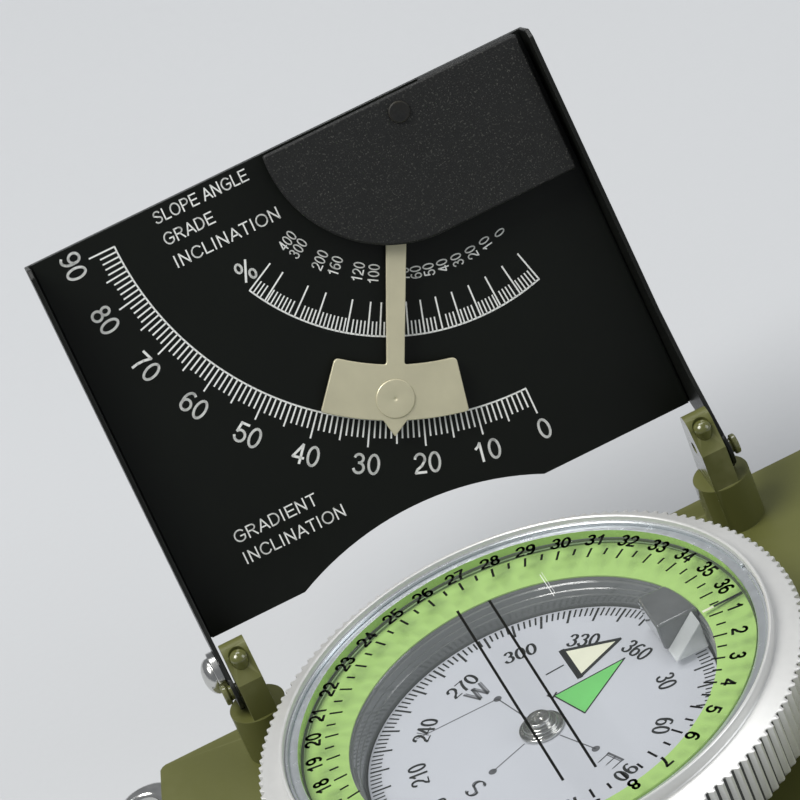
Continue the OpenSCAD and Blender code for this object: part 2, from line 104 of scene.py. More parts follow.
def material(name, colour, rough=0.5, metallic=0.0, vary=0.12, vary_scale=120.0, rough_vary=0.1,
             bump=0.1, bump_scale=900.0, bump_depth=0.02, edge_wear_and_highlight=None, edge_wear_and_highlight_amount=0.0,
             speckle=None, speckle_scale=3000.0, speckle_amount=0.0, brushed=None, **sockets):
    """A procedural material: mottled colour and roughness, a fine bump, lighter convex edges (partly wear,
    partly painted highlight) and speckle.
    """
    m = bpy.data.materials.new(name)
    m.use_nodes = True
    t = m.node_tree
    n, link = t.nodes, t.links.new
    p = n["Principled BSDF"]
    p.inputs["Metallic"].default_value = metallic
    for k, v in sockets.items():
        p.inputs[k.replace("_", " ")].default_value = v
    co = n.new("ShaderNodeTexCoord").outputs["Object"]
    if brushed:
        mp = n.new("ShaderNodeMapping")
        mp.inputs["Scale"].default_value = brushed
        link(co, mp.inputs["Vector"])
        grain_co = mp.outputs["Vector"]
    else:
        grain_co = co
    broad = n.new("ShaderNodeTexNoise")
    broad.inputs["Scale"].default_value = vary_scale
    broad.inputs["Detail"].default_value = 5
    link(co, broad.inputs["Vector"])
    ramp = n.new("ShaderNodeValToRGB")
    ramp.color_ramp.elements[0].position = 0.3
    ramp.color_ramp.elements[1].position = 0.7
    ramp.color_ramp.elements[0].color = shift(colour, 1 - vary)
    ramp.color_ramp.elements[1].color = shift(colour, 1 + vary)
    link(broad.outputs["Fac"], ramp.inputs["Fac"])
    out = ramp.outputs["Color"]
    if speckle:
        sp = n.new("ShaderNodeTexNoise")
        sp.inputs["Scale"].default_value = speckle_scale
        sp.inputs["Detail"].default_value = 1
        link(co, sp.inputs["Vector"])
        r = n.new("ShaderNodeMapRange")
        r.inputs["From Min"].default_value = 0.60
        r.inputs["From Max"].default_value = 0.72
        r.inputs["To Max"].default_value = speckle_amount
        link(sp.outputs["Fac"], r.inputs["Value"])
        mix = n.new("ShaderNodeMix")
        mix.data_type = "RGBA"
        mix.inputs["B"].default_value = speckle
        link(r.outputs["Result"], mix.inputs["Factor"])
        link(out, mix.inputs["A"])
        out = mix.outputs["Result"]
    # Convex edges take the lighter edge colour in patches: partly edge wear, partly a painted highlight where
    # light catches the edges.
    if edge_wear_and_highlight:
        geo = n.new("ShaderNodeNewGeometry")
        edge = n.new("ShaderNodeMapRange")
        edge.inputs["From Min"].default_value = 0.53
        edge.inputs["From Max"].default_value = 0.62
        link(geo.outputs["Pointiness"], edge.inputs["Value"])
        patch = n.new("ShaderNodeTexNoise")
        patch.inputs["Scale"].default_value = 700
        link(co, patch.inputs["Vector"])
        mul = n.new("ShaderNodeMath")
        mul.operation = "MULTIPLY"
        link(edge.outputs["Result"], mul.inputs[0])
        link(patch.outputs["Fac"], mul.inputs[1])
        amount = n.new("ShaderNodeMath")
        amount.operation = "MULTIPLY"
        amount.use_clamp = True
        amount.inputs[1].default_value = edge_wear_and_highlight_amount
        link(mul.outputs[0], amount.inputs[0])
        mix = n.new("ShaderNodeMix")
        mix.data_type = "RGBA"
        mix.inputs["B"].default_value = edge_wear_and_highlight
        link(amount.outputs[0], mix.inputs["Factor"])
        link(out, mix.inputs["A"])
        out = mix.outputs["Result"]
    link(out, p.inputs["Base Color"])
    fine = n.new("ShaderNodeTexNoise")
    fine.inputs["Scale"].default_value = bump_scale
    fine.inputs["Detail"].default_value = 4
    link(grain_co, fine.inputs["Vector"])
    rr = n.new("ShaderNodeMapRange")
    rr.inputs["From Min"].default_value = 0.3
    rr.inputs["From Max"].default_value = 0.7
    rr.inputs["To Min"].default_value = max(rough - rough_vary, 0.02)
    rr.inputs["To Max"].default_value = min(rough + rough_vary, 1)
    link(fine.outputs["Fac"], rr.inputs["Value"])
    link(rr.outputs["Result"], p.inputs["Roughness"])
    b = n.new("ShaderNodeBump")
    b.inputs["Strength"].default_value = bump
    b.inputs["Distance"].default_value = bump_depth * MM
    link(fine.outputs["Fac"], b.inputs["Height"])
    link(b.outputs["Normal"], p.inputs["Normal"])
    return m


# The olive, glossy olive and black lid materials lighten their convex edges: partly wear, partly a painted
# highlight along the edges.
OLIVE = material("olive_enamel", srgb("5C5E31"), rough=0.42, vary=0.06, vary_scale=60, rough_vary=0.05,
                 bump=0.25, bump_scale=1500, bump_depth=0.01, edge_wear_and_highlight=srgb("8E8E66"), edge_wear_and_highlight_amount=0.7,
                 Specular_IOR_Level=0.35)
BARE = material("milled_aluminium", srgb("C6C6C4"), rough=0.2, metallic=1.0, vary=0.06, bump=0.3,
                bump_scale=300, bump_depth=0.01, brushed=(1, 1, 14))
OLIVE_GLOSS = material("olive_enamel_glossy", srgb("5C5E31"), rough=0.2, vary=0.08, vary_scale=300, bump=0.2,
                       edge_wear_and_highlight=srgb("A9A98C"), edge_wear_and_highlight_amount=0.8, Coat_Weight=0.6)
LID_BLACK = material("lid_black", srgb("10120F"), rough=0.4, vary=0.12, vary_scale=90, rough_vary=0.06,
                     bump=0.3, bump_scale=2500, bump_depth=0.008, edge_wear_and_highlight=srgb("3C3D38"), edge_wear_and_highlight_amount=0.8,
                     Specular_IOR_Level=0.3)
PLATE_BLACK = material("scale_plate_black", srgb("0E110D"), rough=0.36, vary=0.10, vary_scale=60,
                       rough_vary=0.05, bump=0.2, bump_scale=3500, bump_depth=0.006, Specular_IOR_Level=0.25)
COVER_GREY = material("crinkle_black", srgb("131413"), rough=0.6, vary=0.16, vary_scale=700, rough_vary=0.1,
                      bump=0.9, bump_scale=5200, bump_depth=0.03, speckle=srgb("4C4C47"), speckle_scale=6000,
                      speckle_amount=0.7, Specular_IOR_Level=0.4)
SILVER = material("turned_silver", srgb("DFDFDC"), rough=0.34, metallic=0.5, vary=0.02, vary_scale=200,
                  rough_vary=0.04, bump=0.05, bump_scale=1500, bump_depth=0.005)
# Darker metal for the knurl's valleys: painted shade where the teeth shade each other.
KNURL_VALLEY_SHADE = material("knurl_valley_painted_shade", srgb("4C4D4C"), rough=0.55, metallic=0.6, vary=0.15, vary_scale=900,
                  bump=0.2)
RIM_SILVER = material("rim_silver", srgb("CDD2D6"), rough=0.24, metallic=0.7, vary=0.04, vary_scale=150,
                      rough_vary=0.04, bump=0.1, bump_scale=1200, bump_depth=0.006)
STEEL = material("bright_steel", srgb("C9C9C6"), rough=0.2, metallic=1.0, vary=0.06, vary_scale=400,
                 rough_vary=0.06, bump=0.15, bump_scale=900, bump_depth=0.01)
NICKEL = material("nickel_sheet", srgb("D2CCAE"), rough=0.4, metallic=0.35, vary=0.06, vary_scale=250,
                  rough_vary=0.06, bump=0.25, bump_scale=2200, bump_depth=0.006)
BRASS = material("brass", srgb("B08D4A"), rough=0.3, metallic=1.0, vary=0.06, bump=0.1)
GREEN = material("luminous_green", srgb("9DC268"), rough=0.55, vary=0.015, vary_scale=200, rough_vary=0.05,
                 bump=0.3, bump_scale=3500, bump_depth=0.008, speckle=srgb("AACF78"), speckle_scale=2500,
                 speckle_amount=0.12)
# Green on the glass's rim: a painted reflection of the luminous ring in the glass edge.
GLASS_EDGE_REFLECTION = material("dial_glass_edge_painted_reflection", srgb("A6CC70"), rough=0.25, vary=0.08, vary_scale=300, bump=0.1,
                      Coat_Weight=0.5)
GREY = material("capsule_grey", srgb("6E7170"), rough=0.16, vary=0.14, vary_scale=110, rough_vary=0.06,
                bump=0.1,
                bump_scale=500, bump_depth=0.01, Coat_Weight=0.6)
PRISM_GREY = material("prism_grey", srgb("6A6C6D"), rough=0.15, metallic=0.3, vary=0.18, vary_scale=400,
                      bump=0.2, bump_scale=900, Coat_Weight=0.8)
CARD_WHITE = material("card_face", srgb("B9BCC3"), rough=0.45, vary=0.02, vary_scale=90, rough_vary=0.05,
                      bump=0.2, bump_scale=3000, bump_depth=0.006)
INK_WHITE = material("white_ink", srgb("E9EAE6"), rough=0.5, vary=0.05, vary_scale=900, bump=0.2,
                     bump_scale=4000)
INK_BLACK = material("black_ink", srgb("0A0B09"), rough=0.4, vary=0.2, vary_scale=900, bump=0.2,
                     bump_scale=4000, Specular_IOR_Level=0.2)
INK_GREY = material("grey_ink", srgb("4A4B50"), rough=0.45, vary=0.15, vary_scale=900, bump=0.2,
                    bump_scale=4000)
INK_CREAM = material("cream_mark", srgb("D9DAC4"), rough=0.5, vary=0.03, vary_scale=500, bump=0.2,
                     bump_scale=3000)
INK_GREEN = material("green_mark", srgb("63BE5F"), rough=0.5, vary=0.05, vary_scale=500, bump=0.2,
                     bump_scale=3000)
RUBBER = material("dark_gasket", srgb("3A4A26"), rough=0.7, vary=0.15, bump=0.4)
MAGNET = material("magnet_steel", srgb("4A4B4D"), rough=0.35, metallic=0.9, vary=0.1, bump=0.2)
RUBY = material("ruby", srgb("8C1226"), rough=0.1, vary=0.1, bump=0.05)
# The rivet's gold-tan edge colour is a painted glint on the edge of its head.
RIVET = material("rivet_black", srgb("131413"), rough=0.55, metallic=0.2, vary=0.2, vary_scale=900,
                 bump=0.6, bump_scale=4000, edge_wear_and_highlight=srgb("8A7A4C"), edge_wear_and_highlight_amount=0.4)


def glass_material(name, tint, alpha, rough):
    """Clear glass: a faint gloss over what lies below, with a few smears in its roughness."""
    m = material(name, tint, rough=rough, vary=0.02, vary_scale=40, rough_vary=0.01, bump=0.03, bump_scale=60,
                 bump_depth=0.004)
    p = m.node_tree.nodes["Principled BSDF"]
    p.inputs["Alpha"].default_value = alpha
    p.inputs["IOR"].default_value = 1.5
    p.inputs["Specular IOR Level"].default_value = 1.0
    return m


GLASS = glass_material("dial_glass_clear", srgb("AEB4B4"), 0.05, 0.04)
PRISM_GLASS = glass_material("prism_glass", srgb("EEF2F2"), 0.45, 0.05)


# ---------- mesh helpers (drawn in millimetres) ----------

SHARP = 30                # degrees between faces that still shade as one surface
BEVEL_FROM = 35           # degrees at which an edge is rounded
LEVEL = 0.9999            # faces whose normal is this close to upright are shaded flat
WELD = 2e-6               # metres
FLATTEN = 0.6             # degrees between facets that merge into one face


def new_piece(name, verts, faces, mat, body, place=Matrix.Identity(4), replaces=(), sharp=SHARP,
              bevel=0.0):
    me = bpy.data.meshes.new(name)
    me.from_pydata([tuple(MM * (place @ Vector(v))) for v in verts], [], faces)
    me.validate()
    bm = bmesh.new()
    bm.from_mesh(me)
    bmesh.ops.recalc_face_normals(bm, faces=bm.faces)
    bm.to_mesh(me)
    bm.free()
    return finish_piece(me, name, mat, body, replaces, sharp, bevel)


def finish_piece(me, name, mat, body, replaces, sharp, bevel):
    """Shading, materials, edge rounding and body of a piece. bevel is in millimetres."""
    mats = mat if isinstance(mat, (list, tuple)) else [mat]
    for m in mats:
        me.materials.append(m)
    for f in me.polygons:
        f.use_smooth = abs(f.normal.z) < LEVEL
    me.set_sharp_from_angle(angle=math.radians(sharp))
    o = bpy.data.objects.new(name, me)
    bpy.context.scene.collection.objects.link(o)
    if bevel:
        b = o.modifiers.new("edge", "BEVEL")
        b.width = bevel * MM
        b.segments = 2
        b.limit_method = "ANGLE"
        b.angle_limit = math.radians(BEVEL_FROM)
        b.use_clamp_overlap = True
        o.modifiers.new("shading", "WEIGHTED_NORMAL").keep_sharp = True
    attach(o, body)
    if replaces:
        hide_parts(*replaces)
    return o


def softened(node, mat, width, name, pick=None):
    """A copy of a CAD node with flat faces merged and edges rounded. pick sets a face's material index."""
    src = NODES[node]
    bm = bmesh.new()
    bm.from_mesh(src.data)
    bmesh.ops.remove_doubles(bm, verts=bm.verts, dist=WELD)
    bmesh.ops.dissolve_limit(bm, angle_limit=math.radians(FLATTEN), verts=bm.verts, edges=bm.edges)
    me = bpy.data.meshes.new(name)
    for f in bm.faces:
        f.material_index = pick(f.calc_center_median() / MM, f.normal) if pick else 0
    bm.to_mesh(me)
    bm.free()
    return finish_piece(me, name, mat, src["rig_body"], (node,), SHARP, width)


def dress(node, mat):
    """Keeps a CAD node as it is, in another material."""
    me = NODES[node].data
    me.materials.clear()
    me.materials.append(mat)


def revolve(profile, steps, radius=None):
    """Closed profile [(r, z), ...] turned round Z. radius(r, z, k) may change the radius of column k."""
    verts, faces = [], []
    count = len(profile)
    for k in range(steps):
        a = 2 * math.pi * k / steps
        for r, z in profile:
            q = radius(r, z, k) if radius else r
            verts.append((q * math.cos(a), q * math.sin(a), z))
    for k in range(steps):
        n = (k + 1) % steps
        for i in range(count):
            j = (i + 1) % count
            faces.append((k * count + i, n * count + i, n * count + j, k * count + j))
    return verts, faces


def solid_of_revolution(profile, steps):
    """Open profile [(r, z), ...] that starts and ends on the axis, turned round Z."""
    verts, faces = [], []
    rows = profile[1:-1]
    for k in range(steps):
        a = 2 * math.pi * k / steps
        verts += [(r * math.cos(a), r * math.sin(a), z) for r, z in rows]
    first, last = len(verts), len(verts) + 1
    verts += [(0, 0, profile[0][1]), (0, 0, profile[-1][1])]
    c = len(rows)
    for k in range(steps):
        n = (k + 1) % steps
        for i in range(c - 1):
            faces.append((k * c + i, n * c + i, n * c + i + 1, k * c + i + 1))
        faces.append((first, n * c, k * c))
        faces.append((last, k * c + c - 1, n * c + c - 1))
    return verts, faces


def plate(outline, z0, z1):
    """An outline extruded from z0 to z1."""
    n = len(outline)
    verts = [(x, y, z0) for x, y in outline] + [(x, y, z1) for x, y in outline]
    faces = [tuple(range(n - 1, -1, -1)), tuple(range(n, 2 * n))]
    faces += [(i, (i + 1) % n, n + (i + 1) % n, n + i) for i in range(n)]
    return verts, faces


OVERLAP = 0.3             # how far the strokes of a line run into each other, in line widths
LETTER_GAP = 0.12         # part of a character's advance that is empty


class Print:
    """Flat marks gathered into one piece: strokes, arcs, dots, filled shapes and characters."""

    def __init__(self, z):
        self.z, self.verts, self.faces = z, [], []

    def shape(self, pts):
        s = len(self.verts)
        self.verts += [(x, y, self.z) for x, y in pts]
        self.faces.append(tuple(range(s, s + len(pts))))

    def stroke(self, a, b, w):
        a, b = Vector(a), Vector(b)
        d = (b - a).normalized()
        s = Vector((-d.y, d.x)) * w / 2
        self.shape([a + s, a - s, b - s, b + s])

    def path(self, pts, w, closed=False):
        """A line of width w, a number or a function of the segment's direction."""
        n = len(pts)
        for i in range(n if closed else n - 1):
            a, b = Vector(pts[i]), Vector(pts[(i + 1) % n])
            d = (b - a).normalized()
            width = w(d) if callable(w) else w
            self.stroke(a - d * width * OVERLAP, b + d * width * OVERLAP, width)

    def dot(self, c, r, n=20):
        self.shape([(c[0] + r * math.cos(2 * math.pi * k / n), c[1] + r * math.sin(2 * math.pi * k / n))
                    for k in range(n)])

    def text(self, words, centre, height, up, stretch=1.0, width=None, pen=0.13, thin=None, align="centre"):
        """Characters with the given cap height. up points at their tops; width sets the word's full width.

        pen is the stroke's width in cap heights; thin, if given, that of its level parts.
        """
        u = Vector(up).normalized()
        r = Vector((u.y, -u.x))
        total = sum(FONT[ch][0] for ch in words) - LETTER_GAP
        if width:
            stretch = width / (total * height)
        x = -total / 2 if align == "centre" else 0.0
        level = thin or pen

        def thickness(d):
            return height * (level + (pen - level) * abs(d.dot(u)))

        for ch in words:
            for line in FONT[ch][1]:
                pts = [Vector(centre) + r * ((x + px) * height * stretch) + u * ((py - 0.5) * height)
                       for px, py in line]
                self.path(pts, thickness)
            x += FONT[ch][0]

    def make(self, name, mat, body, place=Matrix.Identity(4)):
        me = bpy.data.meshes.new(name)
        me.from_pydata([tuple(MM * (place @ Vector(v))) for v in self.verts], [], self.faces)
        me.validate()
        bm = bmesh.new()
        bm.from_mesh(me)
        out = (place.to_3x3() @ Vector((0, 0, 1))).normalized()
        bmesh.ops.reverse_faces(bm, faces=[f for f in bm.faces if f.normal.dot(out) < 0])
        bm.to_mesh(me)
        bm.free()
        return finish_piece(me, name, mat, body, (), SHARP, 0)


def curve(cx, cy, rx, ry, start, end, n=14):
    """Points of an elliptic arc, angles in degrees."""
    turns = [math.radians(start + (end - start) * k / n) for k in range(n + 1)]
    return [(cx + rx * math.cos(t), cy + ry * math.sin(t)) for t in turns]


# Characters as open lines in a cell one unit high: (advance, [points, ...])
FONT = {
    " ": (0.35, []),
    "0": (0.72, [curve(0.3, 0.5, 0.25, 0.46, 0, 360, 24)]),
    "1": (0.72, [[(0.12, 0.72), (0.26, 0.82), (0.36, 0.96), (0.36, 0.04)]]),
    "2": (0.72, [curve(0.3, 0.70, 0.24, 0.26, 170, -28) + [(0.36, 0.36), (0.14, 0.2), (0.05, 0.04)],
                 [(0.05, 0.04), (0.56, 0.04)]]),
    "3": (0.72, [curve(0.28, 0.75, 0.21, 0.21, 160, -90), curve(0.28, 0.29, 0.25, 0.25, 90, -165)]),
    "4": (0.72, [[(0.43, 0.02), (0.43, 0.96), (0.04, 0.30), (0.57, 0.30)]]),
    "5": (0.72, [[(0.53, 0.95), (0.15, 0.95), (0.09, 0.50)], curve(0.29, 0.32, 0.26, 0.28, 140, -162)]),
    "6": (0.72, [curve(0.3, 0.31, 0.24, 0.27, 0, 360, 20), curve(0.34, 0.50, 0.29, 0.46, 62, 205)]),
    "7": (0.72, [[(0.05, 0.95), (0.56, 0.95), (0.37, 0.62), (0.26, 0.30), (0.22, 0.02)]]),
    "8": (0.72, [curve(0.3, 0.74, 0.19, 0.21, 0, 360, 18), curve(0.3, 0.28, 0.24, 0.25, 0, 360, 20)]),
    "9": (0.72, [curve(0.3, 0.69, 0.24, 0.27, 0, 360, 20), curve(0.26, 0.50, 0.29, 0.46, -118, 25)]),
    "%": (1.0, [curve(0.2, 0.74, 0.15, 0.21, 0, 360), curve(0.72, 0.25, 0.15, 0.21, 0, 360),
                [(0.66, 0.98), (0.26, 0.02)]]),
    "A": (0.80, [[(0.02, 0.02), (0.35, 0.96), (0.68, 0.02)], [(0.14, 0.32), (0.56, 0.32)]]),
    "C": (0.84, [curve(0.40, 0.5, 0.35, 0.46, 35, 325, 20)]),
    "D": (0.84, [[(0.08, 0.04), (0.08, 0.96)], [(0.08, 0.96), (0.3, 0.96)], [(0.08, 0.04), (0.3, 0.04)],
                 curve(0.3, 0.5, 0.36, 0.46, 90, -90)]),
    "E": (0.76, [[(0.08, 0.02), (0.08, 0.98)], [(0.08, 0.95), (0.62, 0.95)], [(0.08, 0.51), (0.58, 0.51)],
                 [(0.08, 0.05), (0.64, 0.05)]]),
    "G": (0.90, [curve(0.42, 0.5, 0.37, 0.46, 40, 320, 20) + [(0.74, 0.46)], [(0.74, 0.46), (0.44, 0.46)]]),
    "I": (0.36, [[(0.10, 0.02), (0.10, 0.98)]]),
    "L": (0.66, [[(0.08, 0.98), (0.08, 0.04)], [(0.08, 0.05), (0.54, 0.05)]]),
    "N": (0.84, [[(0.08, 0.0), (0.08, 0.98)], [(0.08, 0.96), (0.62, 0.04)], [(0.62, 0.02), (0.62, 1.0)]]),
    "O": (0.92, [curve(0.40, 0.5, 0.36, 0.46, 0, 360, 24)]),
    "P": (0.78, [[(0.08, 0.0), (0.08, 0.98)], [(0.08, 0.95), (0.38, 0.95)], [(0.08, 0.46), (0.38, 0.46)],
                 curve(0.36, 0.705, 0.24, 0.245, 90, -90)]),
    "R": (0.84, [[(0.08, 0.0), (0.08, 0.98)], [(0.08, 0.95), (0.38, 0.95)], [(0.08, 0.50), (0.38, 0.50)],
                 curve(0.38, 0.725, 0.24, 0.225, 90, -90), [(0.38, 0.49), (0.66, 0.02)]]),
    "S": (0.78, [curve(0.33, 0.73, 0.25, 0.22, 20, 200) + curve(0.33, 0.27, 0.27, 0.23, 80, -160)]),
    "T": (0.74, [[(0.31, 0.0), (0.31, 0.95)], [(0.02, 0.95), (0.60, 0.95)]]),
    "W": (1.05, [[(0.02, 0.98), (0.24, 0.04), (0.46, 0.94), (0.68, 0.04), (0.90, 0.98)]]),
}


def polar(a, r):
    return (r * math.cos(a), r * math.sin(a))


# ---------- base ----------

EAR_FACE = (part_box("hinge_pins")[1].x / MM - MID_X) - 4.0    # an ear's inner face is nearer the middle
EAR_FROM_X, EAR_FROM_Y = 20, 19


def bare_face(c, n):
    """The ears' inner faces are milled bright."""
    inside = EAR_FROM_X < abs(c.x - MID_X) < EAR_FACE
    return 1 if abs(n.x) > 0.9 and inside and c.z > DIAL_Z - 10.7 and c.y > EAR_FROM_Y else 0


softened("base_housing", [OLIVE, BARE], 0.2, "base_casting", bare_face)
softened("bottom_cover", OLIVE, 0.12, "base_plate")
softened("bottom_cover_screws", STEEL, 0.06, "base_plate_screws")
softened("hinge_pins", OLIVE_GLOSS, 0.22, "hinge_pin_heads")
softened("pin_lock_screws", OLIVE_GLOSS, 0.1, "lock_screw_domes")
softened("lanyard_eye", STEEL, 0.35, "lanyard_loop")
softened("prism_mount", PRISM_GREY, 0.25, "prism_block")
softened("reading_prism", PRISM_GLASS, 0.1, "prism_lens")
dress("luminous_ring", GREEN)
dress("bezel_spring", STEEL)
dress("pivot_needle", STEEL)
dress("glass_gasket", RUBBER)
dress("card_magnets", MAGNET)
dress("jewel_bearing", RUBY)
dress("rivet_washer", STEEL)
dress("pendulum_bushing", BRASS)

# Capsule: a turned bowl with a stepped wall
B_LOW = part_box("capsule_bowl")[0].z / MM
bowl = [(21.4, B_LOW), (21.4, NECK_TOP), (18.45, NECK_TOP - 0.32), (18.36, NECK_TOP - 0.36),
        (18.3, NECK_TOP - 0.45), (18.3, NECK_TOP - 0.75), (18.12, NECK_TOP - 0.85), (18.1, NECK_TOP - 1.5),
        (18.0, NECK_TOP - 1.58), (17.96, NECK_TOP - 2.15), (17.86, NECK_TOP - 2.25), (17.84, NECK_TOP - 2.8),
        (17.84, NECK_TOP - 5.4), (17.6, NECK_TOP - 6.6), (16.8, NECK_TOP - 7.4), (15.8, NECK_TOP - 7.7),
        (0.65, NECK_TOP - 7.75), (0.65, B_LOW)]
v, f = revolve(bowl, 160)
new_piece("capsule_wall", v, f, GREY, "base", replaces=("capsule_bowl",), sharp=20)

# Index line on the luminous ring: black, with a pale inner end
LUBBER_Y, LUBBER_W = 0.05, 0.34
for name, r0, r1, mat, slot in (("lubber_line", 19.6, 22.6, INK_BLACK, "black_paint"),
                                ("lubber_line_inner", 18.4, 19.55, INK_CREAM, "card_white")):
    lubber = Print(GREEN_Z + 0.02)
    lubber.stroke((r0, LUBBER_Y), (r1, LUBBER_Y), LUBBER_W)
    lubber.make(name, mat, "base")

# ---------- bezel ----------

TEETH = 150
COLUMNS = 4               # mesh columns per tooth
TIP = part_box("bezel_ring")[1].x / MM
ROOT = TIP - 0.5
Z = DIAL_Z
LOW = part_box("bezel_ring")[0].z / MM
BORE = 23.45
KNURL_TOP = Z - 1.25
COLLAR_FOOT = LEDGE_Z - 0.3
COLLAR_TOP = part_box("bezel_ring")[1].z / MM
COLLAR_R, COLLAR_IN = 24.5, 24.1
CELL_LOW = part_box("glass_retainer")[0].z / MM


def cone(t):
    """Point of the sloping shoulder: t = 0 at the knurl, 1 at the foot of the collar."""
    return (TIP + 0.1 + (COLLAR_R - TIP - 0.1) * t, KNURL_TOP + (COLLAR_FOOT - KNURL_TOP) * t)


def tooth(r, z, k):
    """Radius in column k: the knurl's teeth and the valleys between them."""
    if r < ROOT:
        return r
    return min(r, (TIP, TIP - 0.05, ROOT, ROOT + 0.05)[k % COLUMNS])


outer = [(TIP - 0.8, LOW), (TIP - 0.35, LOW + 0.18), (TIP, LOW + 0.45)]
outer += [(TIP, LOW + 0.45 + (KNURL_TOP - LOW - 0.45) * k / 6) for k in range(1, 7)]
outer += [cone(t) for t in (0.06, 0.12, 0.17, 0.21, 0.26, 0.5, 0.8, 0.93, 0.97)]
outer += [(COLLAR_R, COLLAR_FOOT + 0.09), (COLLAR_R, COLLAR_TOP - 0.17), (COLLAR_R - 0.03, COLLAR_TOP - 0.07),
          (COLLAR_R - 0.1, COLLAR_TOP), (COLLAR_IN + 0.15, COLLAR_TOP), (COLLAR_IN + 0.04, COLLAR_TOP - 0.06),
          (COLLAR_IN, COLLAR_TOP - 0.16), (COLLAR_IN, CELL_LOW - 0.01), (BORE, CELL_LOW - 0.01),
          (BORE, LOW + 0.1)]
v, f = revolve(outer, TEETH * COLUMNS, tooth)
knurl = new_piece("bezel_knurled", v, f, [SILVER, KNURL_VALLEY_SHADE], "bezel", replaces=("bezel_ring",),
                  sharp=22)
# Upright faces at the roots of the teeth take the darker metal: painted shade in the valleys.
for face in knurl.data.polygons:
    c = face.center / MM
    upright = abs(face.normal.z) < 0.3
    if upright and c.z < KNURL_TOP and ROOT - 0.2 < math.hypot(c.x, c.y) < ROOT + 0.1:
        face.material_index = 1

retainer = [(22.6, CELL_LOW), (24.08, CELL_LOW), (24.08, LEDGE_Z - 0.04), (24.04, LEDGE_Z), (22.92, LEDGE_Z),
            (22.85, LEDGE_Z - 0.03), (22.82, LEDGE_Z - 0.1), (22.82, CELL_LOW + 0.15),
            (22.6, CELL_LOW + 0.15)]
v, f = revolve(retainer, 240)
new_piece("glass_clamp_ring", v, f, RIM_SILVER, "bezel", replaces=("glass_retainer",), sharp=40)
softened("snap_ring", RIM_SILVER, 0.08, "split_ring")

GLASS_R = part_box("dial_glass")[1].x / MM
GLASS_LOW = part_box("dial_glass")[0].z / MM
glass = [(0, GLASS_LOW), (GLASS_R - 0.1, GLASS_LOW), (GLASS_R, GLASS_LOW + 0.1), (GLASS_R, Z - 0.1),
         (GLASS_R - 0.1, Z), (0, Z)]
v, f = solid_of_revolution(glass, 200)
window = new_piece("dial_window", v, f, [GLASS, GLASS_EDGE_REFLECTION], "bezel", replaces=("dial_glass",))
# The glass's upright rim takes the green: painted reflection of the luminous ring.
for face in window.data.polygons:
    if abs(face.normal.z) < 0.3:
        face.material_index = 1

DIAL_TICK_OUT, DIAL_TICK_LONG, DIAL_TICK_SHORT = 20.0, 18.62, 19.06
DIAL_NUMBER_R = 21.22
marks = Print(Z + 0.015)
for k in range(72):
    a = -math.radians(5 * k)
    marks.stroke(polar(a, DIAL_TICK_SHORT if k % 2 else DIAL_TICK_LONG), polar(a, DIAL_TICK_OUT), 0.25)
for k in range(1, 37):
    a = -math.radians(10 * k)
    d = Vector(polar(a, 1))
    marks.text(str(k), d * DIAL_NUMBER_R, 1.5, d, stretch=0.98, pen=0.19)
marks.stroke((-1.6, -15.7), (-1.6, 15.9), 0.27)
marks.stroke((1.6, -16.1), (1.6, 15.1), 0.27)
marks.make("dial_numbers", INK_BLACK, "bezel")
# Two faint white lines on the glass, the second one thinner and beside the first.
hair = Print(Z + 0.014)
hair.stroke((7.15, 10.9), (7.15, 15.2), 0.06)
hair.stroke((7.4, 11.3), (7.4, 15.4), 0.03)
hair.make("glass_white_hairlines", INK_WHITE, "bezel")

# ---------- compass card ----------

CARD_R, CARD_HOLE, CARD_LOW = 17.6, 1.3, CARD_Z - 0.4
card = [(CARD_HOLE, CARD_LOW), (CARD_R - 0.05, CARD_LOW), (CARD_R, CARD_LOW + 0.1), (CARD_R, CARD_Z - 0.06),
        (CARD_R - 0.06, CARD_Z), (CARD_HOLE, CARD_Z)]
v, f = revolve(card, 180)
new_piece("card_disc", v, f, CARD_WHITE, "card", replaces=("compass_card",))
softened("card_hub", STEEL, 0.09, "card_hub_cap")

CARD_TICK_OUT, CARD_TICK_LONG, CARD_TICK_SHORT = 17.35, 15.4, 16.2
CARD_NUMBER_R = 12.6
CREAM_ARROW = [(5.64, 9.72), (11.01, 7.25), (5.72, 4.64)]
GREEN_ARROW = [(2.61, 3.77), (10.37, 4.15), (4.23, -0.84)]
ink = Print(CARD_Z + 0.015)
for k in range(180):
    a = NORTH - math.radians(2 * k)
    inner, wide = (CARD_TICK_SHORT, 0.19) if k % 5 else (CARD_TICK_LONG, 0.25)
    ink.stroke(polar(a, inner), polar(a, CARD_TICK_OUT), wide)
for k in range(1, 13):
    a = NORTH - math.radians(30 * k)
    d = Vector(polar(a, 1))
    ink.text(str(30 * k), d * CARD_NUMBER_R, 1.8, d, stretch=0.88, pen=0.17, thin=0.08)
ink.path(CREAM_ARROW, 0.42, closed=True)
ink.path([CREAM_ARROW[0], CREAM_ARROW[2]], 0.62)
ink.path(GREEN_ARROW, 0.16, closed=True)
ink.stroke((3.06, 7.38), (5.06, 7.53), 0.2)
ink.path([(2.1, 4.3), (2.45, 3.6), (3.0, 4.1)], 0.2)
ink.make("card_print", INK_BLACK, "card")
